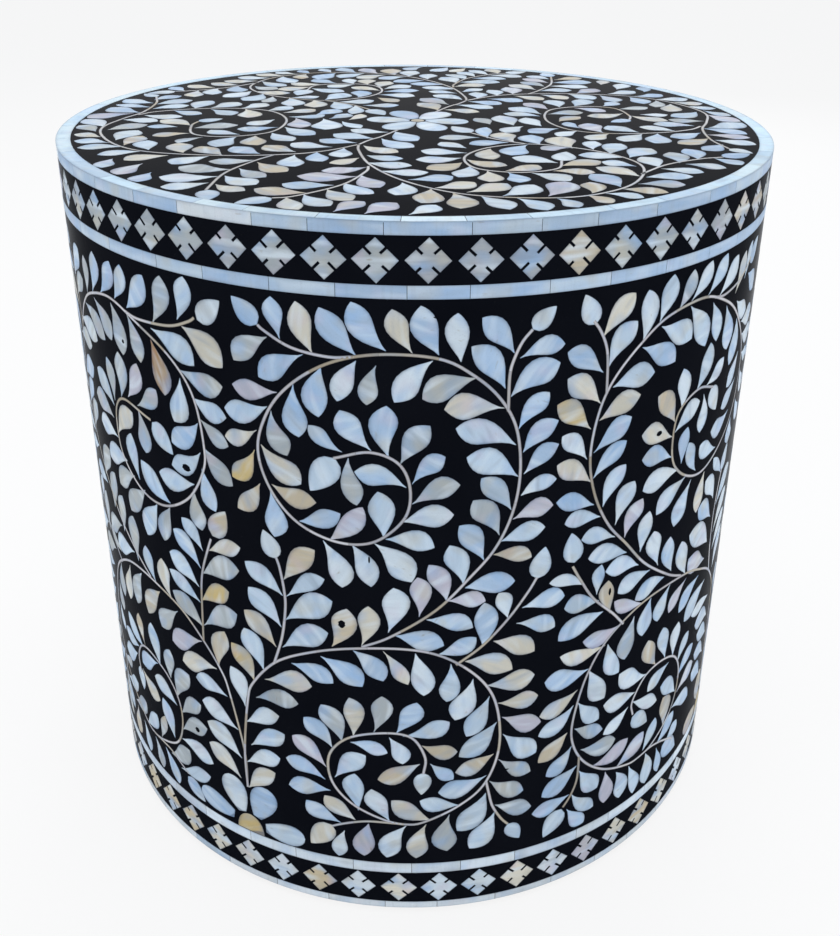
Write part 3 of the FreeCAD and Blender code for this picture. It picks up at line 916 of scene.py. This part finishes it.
# The tints seen in front, each with the feet of its chips.
LAID_TINTS = {
    FIRST_RIGHT: {
        GOLD: [(21, 320), (11, 163)],
        TAN: [
            (30, 301), (23, 300), (27, 193), (34, 241), (150, 263), (112, 133), (155, 122), (111, 119),
            (61, 201),
        ],
        CREAM: [
            (25, 324), (56, 380), (106, 383), (18, 167), (1, 76), (90, 201), (153, 351), (148, 174),
            (156, 160), (115, 71), (72, 138), (118, 74), (72, 72), (23, 332), (57, 65), (152, 205),
            (136, 193), (78, 204),
        ],
        LILAC: [(62, 272), (110, 225), (125, 235), (80, 70), (55, 111), (36, 356), (160, 284), (159, 149)],
        GREY: [
            (11, 151), (65, 133), (84, 142), (100, 321), (106, 297), (138, 369), (153, 275), (32, 345),
            (88, 376), (32, 386), (73, 323), (153, 101), (157, 81), (129, 78), (158, 117),
        ],
        BLUE: [
            (117, 119), (70, 133), (54, 101), (57, 93), (97, 142), (59, 127), (36, 184), (54, 193), (73, 200),
            (51, 379), (39, 386), (119, 382), (135, 243), (146, 202), (106, 309), (161, 338), (164, 324),
        ],
    },
    FIRST_LEFT: {
        BROWN: [(49, 368)],
        GOLD: [(26, 208)],
        TAN: [(16, 164), (98, 139), (88, 69), (68, 196), (130, 68), (12, 257)],
        CREAM: [(22, 382), (16, 246), (18, 161), (5, 81)],
        LILAC: [(80, 324), (29, 177)],
        GREY: [(89, 379), (114, 375), (89, 321), (66, 131), (58, 94), (76, 63), (72, 266), (27, 356)],
    },
    SECOND_LEFT: {
        GOLD: [(168, 331)],
        TAN: [(144, 204), (105, 318), (78, 80), (96, 142), (168, 124)],
        CREAM: [
            (165, 383), (163, 335), (50, 380), (163, 345), (165, 298), (145, 181), (63, 269), (106, 309),
            (163, 155),
        ],
        LILAC: [
            (117, 200), (135, 192), (135, 77), (138, 254), (70, 195), (146, 88), (126, 75), (43, 195),
            (63, 99),
        ],
        GREY: [(112, 388), (123, 193), (163, 125), (157, 106)],
    },
}
# Each worm hole by its place, its half width and its half height.
LAID_HOLES = {
    FIRST_RIGHT: [(67, 217.3, 2.2, 2.6), (117.5, 402, 1.3, 0.6), (163, 108, 2.2, 0.5), (83, 261.5, 0.5, 2.2)],
    FIRST_LEFT: [(78.5, 358.7, 1.2, 1.2), (28.5, 296, 3.6, 2.2), (41.8, 102.4, 2.1, 1.9)],
    SECOND_LEFT: [(118, 315, 2.2, 1.6), (145.3, 219.6, 0.9, 2.6)],
}


def drop_width(crown, blunt):
    """Half widths of a drop along a leaf's stations, as a share of the widest."""
    return np.maximum(np.sin(math.pi * LEAF_STATIONS ** crown), 0) ** blunt


def round_stations(count):
    """Stations from -1 to 1 that crowd towards both ends."""
    return -np.cos(np.linspace(0, math.pi, count))


def by_foot(tints):
    """The tint of each chip, to be looked up by its foot."""
    return {foot: tint for tint, feet in tints.items() for foot in feet}


def any_within(points, outline):
    """Whether any of the points lies inside an outline."""
    x, y = points[:, :1], points[:, 1:]
    start, end = outline, np.roll(outline, -1, axis=0)
    crossed = (start[:, 1] > y) != (end[:, 1] > y)
    rise = np.where(end[:, 1] == start[:, 1], 1, end[:, 1] - start[:, 1])
    level = start[:, 0] + (y - start[:, 1]) / rise * (end[:, 0] - start[:, 0])
    return bool(np.any(np.sum(crossed & (x < level), axis=1) % 2))


class Bench:
    """The outlines of the chips already laid on one face, in the flat, for the next to be cut clear of."""

    def __init__(self):
        self.outlines = []
        self.middles = np.zeros((0, 2))

    def flat(self, line, left, right, place):
        """A chip's outline: round the drum and up for the side, across and along for the top."""
        across = across_line(line)
        left_edge = line + across * left[:, None]
        right_edge = line - across * right[:, None]
        return place.spread(np.vstack([left_edge, right_edge[::-1]]))

    def clashes(self, line, left, right, place):
        """Whether a chip would run into one that is already laid."""
        outline = self.flat(line, left, right, place)
        middle = outline.mean(axis=0)
        gaps = self.middles - middle
        gaps[:, 0] -= GIRTH * np.round(gaps[:, 0] / GIRTH)
        for near in np.flatnonzero(np.hypot(gaps[:, 0], gaps[:, 1]) < LONGEST_LEAF):
            other = self.outlines[near] - self.middles[near] + middle + gaps[near]
            if any_within(outline, other) or any_within(other, outline):
                return True
        return False

    def keep(self, line, left, right, place):
        outline = self.flat(line, left, right, place)
        self.outlines.append(outline)
        self.middles = np.vstack([self.middles, outline.mean(axis=0)])


def lay_leaf(leaves, foot, tip, place, tint, lines, bench, width_share=LEAF_SHARE):
    """A leaf that leaves its stem the way the stem grows, fuller on one side, cut clear of the rest."""
    foot = np.array(foot, float)
    reach = np.array(tip, float) - foot
    length = np.linalg.norm(reach)
    sideways = np.array([-reach[1], reach[0]]) / length
    nearest = min(lines, key=lambda line: np.min(np.sum((line - foot) ** 2, axis=1)))
    spot = min(int(np.argmin(np.sum((nearest - foot) ** 2, axis=1))), len(nearest) - 2)
    growth = nearest[spot + 1] - nearest[spot]
    turn = 1 if sideways @ growth > 0 else -1
    bend = turn * length * chance.uniform(*LEAF_BEND)
    line = foot + LEAF_STATIONS[:, None] * reach
    line = line + (bend * np.sin(math.pi * LEAF_STATIONS))[:, None] * sideways
    full = length * width_share / 2 * chance.uniform(*LEAF_FULLNESS)
    lean = turn * chance.uniform(*LEAF_LEAN)
    halves = []
    for side in (1, -1):
        drop = drop_width(chance.uniform(*LEAF_CROWN), chance.uniform(*LEAF_BLUNT))
        halves.append(np.maximum(full * (1 + side * lean) * drop, EDGE))
    slim = np.full(len(line), EDGE)
    for _ in range(MOST_TRIMS):
        if bench.clashes(line, slim + CHIP_GAP, slim + CHIP_GAP, place):
            line = line[NECK] + TRIM_END * (line - line[NECK])
            continue
        clashes = [
            bench.clashes(line, halves[0] + CHIP_GAP, slim, place),
            bench.clashes(line, slim, halves[1] + CHIP_GAP, place),
        ]
        if not any(clashes):
            break
        for side, clash in enumerate(clashes):
            if clash:
                halves[side] = np.maximum(TRIM * halves[side], EDGE)
    bench.keep(line, *halves, place)
    leaves.lay(line, *halves, place, tint)


def lay_bud(buds, foot, tip, place, tint, bench):
    foot = np.array(foot, float)
    reach = np.array(tip, float) - foot
    half = BUD_SHARE * np.linalg.norm(reach) / 2 * drop_width(BUD_CROWN, BUD_BLUNT)
    half = np.maximum(half, EDGE)
    line = foot + LEAF_STATIONS[:, None] * reach
    bench.keep(line, half, half, place)
    buds.lay(line, half, half, place, tint)


def lay_hole(holes, u, z, half_width, half_height, place):
    stations = round_stations(HOLE_POINTS)
    half = half_width * round_end(stations, HOLE_END) * chance.uniform(*HOLE_WANDER, HOLE_POINTS)
    spine = np.column_stack([np.full(HOLE_POINTS, u), z + half_height * stations])
    holes.lay(spine, half, half, place, BLACK)


leaves = Inlay()
buds = Inlay()
holes = Inlay()
side_bench = Bench()
for axis in FLOWER_AXES:
    for hand in HANDS:
        for petal in (UPRIGHT_PETAL, LYING_PETAL):
            spine, half = petal_shape(*petal)
            side_bench.keep(spine, half, half, SidePlace(axis, hand))
for half, drawing, axis, stretch in side_halves():
    place = SidePlace(axis, stretch, LEAF_SINK)
    lines = side_lines(drawing)
    tints = by_foot(LAID_TINTS.get(half, {}))
    for u, z, tip_u, tip_z in LAID_BUDS.get(drawing, SIDE_BUDS):
        tint = tints.get((u, z)) or pick_tint(PLAIN_SHADES)
        lay_bud(buds, (u, z), (tip_u, tip_z), place, tint, side_bench)
    for u, z, tip_u, tip_z in LAID_LEAVES[drawing]:
        tint = tints.get((u, z)) or pick_tint(HALF_SHADES.get(half, LEAF_SHADES))
        wander = (0, 0) if half in HALF_SHADES else chance.normal(0, TIP_WANDER, 2)
        lay_leaf(leaves, (u, z), (tip_u + wander[0], tip_z + wander[1]), place, tint, lines, side_bench)
    for hole in LAID_HOLES.get(half, []):
        lay_hole(holes, *hole, SidePlace(axis, stretch))
leaves.piece("side_vine_leaves", leaf_shell, "mother_of_pearl")
buds.piece("side_vine_buds", leaf_shell, "mother_of_pearl")
holes.piece("side_vine_holes", black_fill, "black_resin")

# Top flower
# Six round-headed petals of shell about a small tan button, in the middle of the top. They are
# cut like the petals of the side flowers, all to one size.

TOP_PETAL_COUNT = 6
TOP_PETAL_TURN = -5.0
TOP_PETAL = ((5.2, 0), (33.5, 0), 18.5, 0.3)
TOP_PETAL_SHADES = {BLUE: 2, PALE: 3, WHITE: 2}
BUTTON_RADIUS = 4.3
BUTTON_POINTS = 17
BUTTON_END = 0.001
top_petal_places = []
for number in range(TOP_PETAL_COUNT):
    top_petal_places.append(TopPlace(TOP_PETAL_TURN + 360 / TOP_PETAL_COUNT * number))
top_petals = Inlay()
for place in top_petal_places:
    lay_petal(top_petals, TOP_PETAL, place, pick_tint(TOP_PETAL_SHADES))
top_petals.piece("top_flower_petals_shell", leaf_shell, "mother_of_pearl", ["top_flower_petals"])
top_button = Inlay()
button_stations = round_stations(BUTTON_POINTS)
button_half = BUTTON_RADIUS * round_end(button_stations, BUTTON_END)
button_spine = np.column_stack([BUTTON_RADIUS * button_stations, np.zeros(BUTTON_POINTS)])
top_button.lay(button_spine, button_half, button_half, TopPlace(), TAN)
top_button.piece("top_flower_button_shell", tan_shell, "tan_pearl", ["top_flower_button"])

# Top vine
# Stems, leaves and buds as on the side, drawn for one half of the top: two arms leave the middle
# flower and roll up. The other half is the same turned by half a turn, but for a few leaves.

TOP_FIELD = 214.5
TOP_LEAF_SHARE = 0.6
# Top leaf tints weigh more to white and cream than the side's: a painted reflection of the bright light on
# the top.
PAINTED_LIT_TOP_SHADES = {PALE: 24, BLUE: 15, WHITE: 30, GREY: 8, CREAM: 10, LILAC: 5, TAN: 4}
# Top stems are lighter than the side's: painted glare.
PAINTED_LIT_TOP_STEM_SHADES = {(190, 188, 188): 3, (202, 201, 203): 3, (178, 168, 152): 1}
TOP_STEMS = [
    [(-12, -28), (-22, -48), (-29, -58), (-35, -70)],
    [(-35, -69), (-34, -86), (-26, -119), (-8, -151), (19, -175), (50, -183), (82, -180), (108, -162),
     (122, -137), (125, -112), (113, -89), (92, -73), (66, -65), (41, -76), (27, -99), (32, -124),
     (55, -133), (77, -124), (82, -105)],
    [(-27, -122), (-28, -134), (-39, -161), (-61, -183), (-72, -187)],
    [(-35, -70), (-51, -85), (-71, -95), (-107, -100), (-147, -95), (-171, -82), (-189, -57), (-197, -30),
     (-191, -3), (-183, 19), (-181, 49), (-186, 73)],
    [(-82, -98), (-91, -112), (-103, -139), (-107, -173)],
    [(-184, 10), (-174, 21), (-151, 31), (-121, 34), (-97, 24), (-85, -4), (-91, -38), (-116, -52),
     (-137, -46), (-143, -22), (-141, -9)],
    [(122, -134), (140, -113), (162, -99), (177, -94)],
    [(66, -65), (48, -53), (33, -35)],
]
TOP_LEAVES = [
    (-197, -27, -218, -6), (-198, -41, -217, -25), (-191, -56, -212, -50), (-182, -71, -207, -68),
    (-172, -81, -198, -85), (-159, -92, -181, -101), (-141, -101, -163, -113), (-118, -102, -135, -121),
    (-170, -110, -171, -130), (-151, -120, -159, -144), (-142, -139, -147, -161), (-192, -36, -171, -20),
    (-180, -64, -173, -37), (-172, -77, -167, -52), (-155, -88, -161, -64), (-134, -94, -141, -70),
    (-111, -99, -127, -78), (-90, -95, -108, -78), (-70, -90, -90, -74), (-50, -77, -75, -68),
    (-36, -66, -59, -57), (-26, -54, -52, -42), (-18, -36, -42, -29), (-84, -24, -63, -45),
    (-90, -41, -75, -62), (-99, -49, -94, -74), (-110, -53, -118, -79), (-130, -54, -142, -70),
    (-140, -44, -161, -52), (-151, -26, -170, -26), (-144, -21, -166, -6), (-140, -29, -114, -19),
    (-109, -46, -129, -34), (-88, -24, -113, -31), (-93, -1, -109, -17), (-190, -6, -167, -10),
    (180, -9, 154, -5), (-91, -110, -116, -114), (-100, -131, -130, -126), (-105, -146, -136, -148),
    (-108, -159, -131, -168), (-89, -115, -70, -135), (-97, -129, -80, -147), (-102, -145, -83, -162),
    (-104, -162, -87, -174), (-70, -97, -67, -124), (-58, -90, -53, -112), (-43, -79, -43, -102),
    (-33, -103, -49, -116), (-28, -124, -52, -133), (-32, -144, -64, -144), (-43, -162, -70, -160),
    (-56, -177, -83, -170), (-30, -141, -19, -166), (-38, -158, -22, -178), (-46, -170, -32, -190),
    (-57, -180, -42, -200), (-65, -186, -57, -208), (-40, -210, -26, -192), (-25, -213, -10, -194),
    (-4, -214, 9, -197), (-8, -156, -11, -180), (7, -168, 2, -194), (18, -175, 21, -203),
    (32, -181, 45, -204), (50, -184, 63, -205), (70, -184, 79, -200), (86, -178, 97, -193),
    (96, -174, 115, -183), (106, -165, 129, -172), (116, -155, 141, -156), (123, -141, 149, -139),
    (135, -122, 157, -130), (151, -111, 172, -120), (171, -97, 186, -114), (135, -119, 129, -95),
    (148, -109, 148, -83), (161, -99, 159, -74), (122, -97, 139, -74), (112, -88, 123, -62),
    (104, -78, 108, -56), (92, -75, 89, -44), (74, -66, 71, -40), (59, -61, 53, -34), (43, -50, 44, -19),
    (38, -49, 13, -51), (55, -61, 31, -67), (29, -77, 14, -62), (29, -89, 2, -84), (25, -101, -1, -106),
    (25, -112, 5, -127), (29, -120, 22, -144), (38, -130, 38, -153), (49, -133, 54, -154),
    (62, -134, 81, -150), (74, -129, 97, -132), (80, -118, 104, -106), (43, -78, 43, -104),
    (66, -67, 54, -94), (91, -74, 71, -80), (79, -111, 54, -99), (28, -105, 50, -118), (48, -130, 67, -116),
    (119, -97, 93, -92), (123, -118, 101, -106), (120, -139, 99, -120), (106, -161, 94, -135),
    (89, -174, 91, -152), (66, -180, 78, -151), (43, -180, 61, -158), (25, -174, 47, -156),
    (9, -166, 30, -154), (-5, -150, 19, -142), (-20, -132, 6, -134), (-28, -114, -3, -120),
    (-29, -97, -8, -104), (-32, -73, -11, -89), (-22, -54, -2, -76), (-14, -34, 0, -59),
    (179, -30, 157, -43), (180, -46, 158, -61), (185, -62, 169, -77), (151, -33, 144, -60),
    (141, -35, 126, -56), (120, -35, 106, -53), (101, -28, 87, -43), (90, -21, 70, -34), (68, -15, 55, -35),
    (117, -32, 111, -4), (140, -30, 123, -11), (164, -25, 143, -14), (188, -14, 214, 2),
    (184, -17, 208, -33), (181, -35, 207, -43), (183, -50, 209, -63),
]
NEAR_HALF_LEAVES = [(-62, 3, -58, -30), (-80, 4, -74, -25), (-49, -5, -36, -25)]
FAR_HALF_LEAVES = [
    (-47, 10, -38, -9), (-62, 12, -55, -18), (-80, 14, -72, -12), (-104, 19, -98, 1), (-82, -17, -58, -25),
    (85, -8, 62, -16), (58, -3, 47, -20), (45, 0, 38, -19),
]
TOP_BUDS = [
    (82, -106, 87, -84), (-186, 73, -197, 84), (-72, -187, -89, -197), (-106, -173, -103, -192),
    (177, -94, 195, -85), (33, -35, 22, -17), (-141, -9, -127, 0),
]
NEAR_HALF_TINTS = by_foot({
    LILAC: [(-151, -120), (-80, 4), (-32, -144), (-40, -210), (-25, -213), (91, -74)],
    BLUE: [(-142, -139), (-88, -24), (161, -99), (43, -50), (-5, -150)],
    TAN: [
        (-70, -90), (-140, -44), (-89, -115), (18, -175), (86, -178), (106, -165), (25, -112), (80, -118),
        (48, -130), (89, -174),
    ],
    CREAM: [(-46, -170), (25, -174)],
})
TOP_HALVES = [(0, NEAR_HALF_LEAVES, NEAR_HALF_TINTS), (180, FAR_HALF_LEAVES, {})]


def in_field(x, y):
    """A point of the top's drawing, moved in to the edge of the field if it lies past it."""
    point = np.array([x, y], float)
    return point * min(1, TOP_FIELD / np.linalg.norm(point))


top_lines = [smooth_line(knots, STEM_STEP) for knots in TOP_STEMS]
top_stems = Inlay()
top_leaves = Inlay()
top_buds = Inlay()
top_bench = Bench()
for place in top_petal_places:
    spine, half = petal_shape(*TOP_PETAL)
    top_bench.keep(spine, half, half, place)
for turn, own_leaves, tints in TOP_HALVES:
    for line in top_lines:
        lay_stem(top_stems, line, TopPlace(turn), PAINTED_LIT_TOP_STEM_SHADES)
    place = TopPlace(turn, LEAF_SINK)
    for x, y, tip_x, tip_y in TOP_BUDS:
        lay_bud(top_buds, (x, y), (tip_x, tip_y), place, pick_tint(PLAIN_SHADES), top_bench)
    for x, y, tip_x, tip_y in TOP_LEAVES + own_leaves:
        tint = pick_tint(PAINTED_LIT_TOP_SHADES)
        tint = tints.get((x, y), tint)
        foot = in_field(x, y)
        tip = in_field(tip_x, tip_y)
        lay_leaf(top_leaves, foot, tip, place, tint, top_lines, top_bench, TOP_LEAF_SHARE)
top_stems.piece("top_vine_stems", stem_shell, "mother_of_pearl")
top_leaves.piece("top_vine_leaves", leaf_shell, "mother_of_pearl")
top_buds.piece("top_vine_buds", leaf_shell, "mother_of_pearl")

# Studio
# A plain pale floor, soft light from large lamps, a white background and a camera at the
# photograph's place, a little above the table.

FLOOR_HALF = 6.0
FLOOR_CORNERS = ((-1, -1), (1, -1), (1, 1), (-1, 1))
floor_mesh = bpy.data.meshes.new("floor")
floor_mesh.from_pydata([(FLOOR_HALF * x, FLOOR_HALF * y, 0) for x, y in FLOOR_CORNERS], [], [(0, 1, 2, 3)])
floor = bpy.data.objects.new("floor", floor_mesh)
bpy.context.scene.collection.objects.link(floor)
floor_paint, wire = new_finish("pale_floor")
seen = wire.node("LightPath", output="Is Camera Ray")
matt = wire.node("BsdfDiffuse", None, {"Color": paint(245, 245, 245)})
white = wire.node("Emission", None, {"Color": (1, 1, 1, 1), "Strength": 1.0})
surface = wire.node("MixShader", None, {0: 0.85 * seen, 1: matt, 2: white})
wire.node("OutputMaterial", None, {"Surface": surface})
floor_mesh.materials.append(floor_paint)

world = bpy.data.worlds.new("studio")
bpy.context.scene.world = world
world.use_nodes = True
world.node_tree.nodes.clear()
wire = Wire(world.node_tree)
backdrop = wire.node("LightPath", output="Is Camera Ray")
for ray in ("Is Glossy Ray", "Is Transmission Ray"):
    backdrop = wire.maths("MAXIMUM", backdrop, wire.node("LightPath", output=ray))
soft = wire.node("Background", None, {"Color": paint(236, 242, 250), "Strength": 0.55})
plain = wire.node("Background", None, {"Color": (1, 1, 1, 1), "Strength": 1.0})
surface = wire.node("MixShader", None, {0: backdrop, 1: soft, 2: plain})
wire.node("OutputWorld", None, {"Surface": surface})

# Each lamp by its place, its size and its power.
LAMPS = {
    "key_lamp": ((-2.1, -1.35, 0.38), 0.95, 18.5),
    "fill_lamp": ((2.1, -1.35, 0.38), 0.95, 20.0),
    "top_lamp": ((0.0, 0.3, 2.2), 1.6, 21.0),
    "back_lamp": ((0.4, 2.2, 1.2), 1.4, 10.0),
}
LAMP_AIM = (0.0, 0.0, 0.25)
for name, (spot, size, power) in LAMPS.items():
    lamp = bpy.data.lights.new(name, "AREA")
    lamp.shape = "DISK"
    lamp.size = size
    lamp.energy = power
    holder = bpy.data.objects.new(name, lamp)
    bpy.context.scene.collection.objects.link(holder)
    holder.location = spot
    holder.visible_glossy = False
    away = Vector(spot) - Vector(LAMP_AIM)
    holder.rotation_euler = away.to_track_quat("Z", "Y").to_euler()

PHOTO_HEIGHT = 936
PHOTO_WIDTH = 840
FOCUS_PIXELS = 1080.8
OPTICAL_CENTRE = (441.3, 349.8)
SENSOR_WIDTH = 36.0
NEAREST_SEEN = 0.01
CAMERA_SPOT = (0.0, -0.7081, 0.6006)
PITCH = 0.41442
ROLL = 0.01429
YAW = -0.02495
lens = bpy.data.cameras.new("photo_camera")
lens.sensor_width = SENSOR_WIDTH
lens.lens = FOCUS_PIXELS / PHOTO_HEIGHT * SENSOR_WIDTH
lens.shift_x = (PHOTO_WIDTH / 2 - OPTICAL_CENTRE[0]) / PHOTO_HEIGHT
lens.shift_y = (OPTICAL_CENTRE[1] - PHOTO_HEIGHT / 2) / PHOTO_HEIGHT
lens.clip_start = NEAREST_SEEN
camera = bpy.data.objects.new("photo_camera", lens)
bpy.context.scene.collection.objects.link(camera)
aim = Matrix.Rotation(YAW, 4, "Z")
aim = aim @ Matrix.Rotation(math.pi / 2 - PITCH, 4, "X") @ Matrix.Rotation(ROLL, 4, "Z")
camera.matrix_world = Matrix.Translation(CAMERA_SPOT) @ aim
bpy.context.scene.camera = camera
bpy.context.scene.view_settings.view_transform = "Standard"
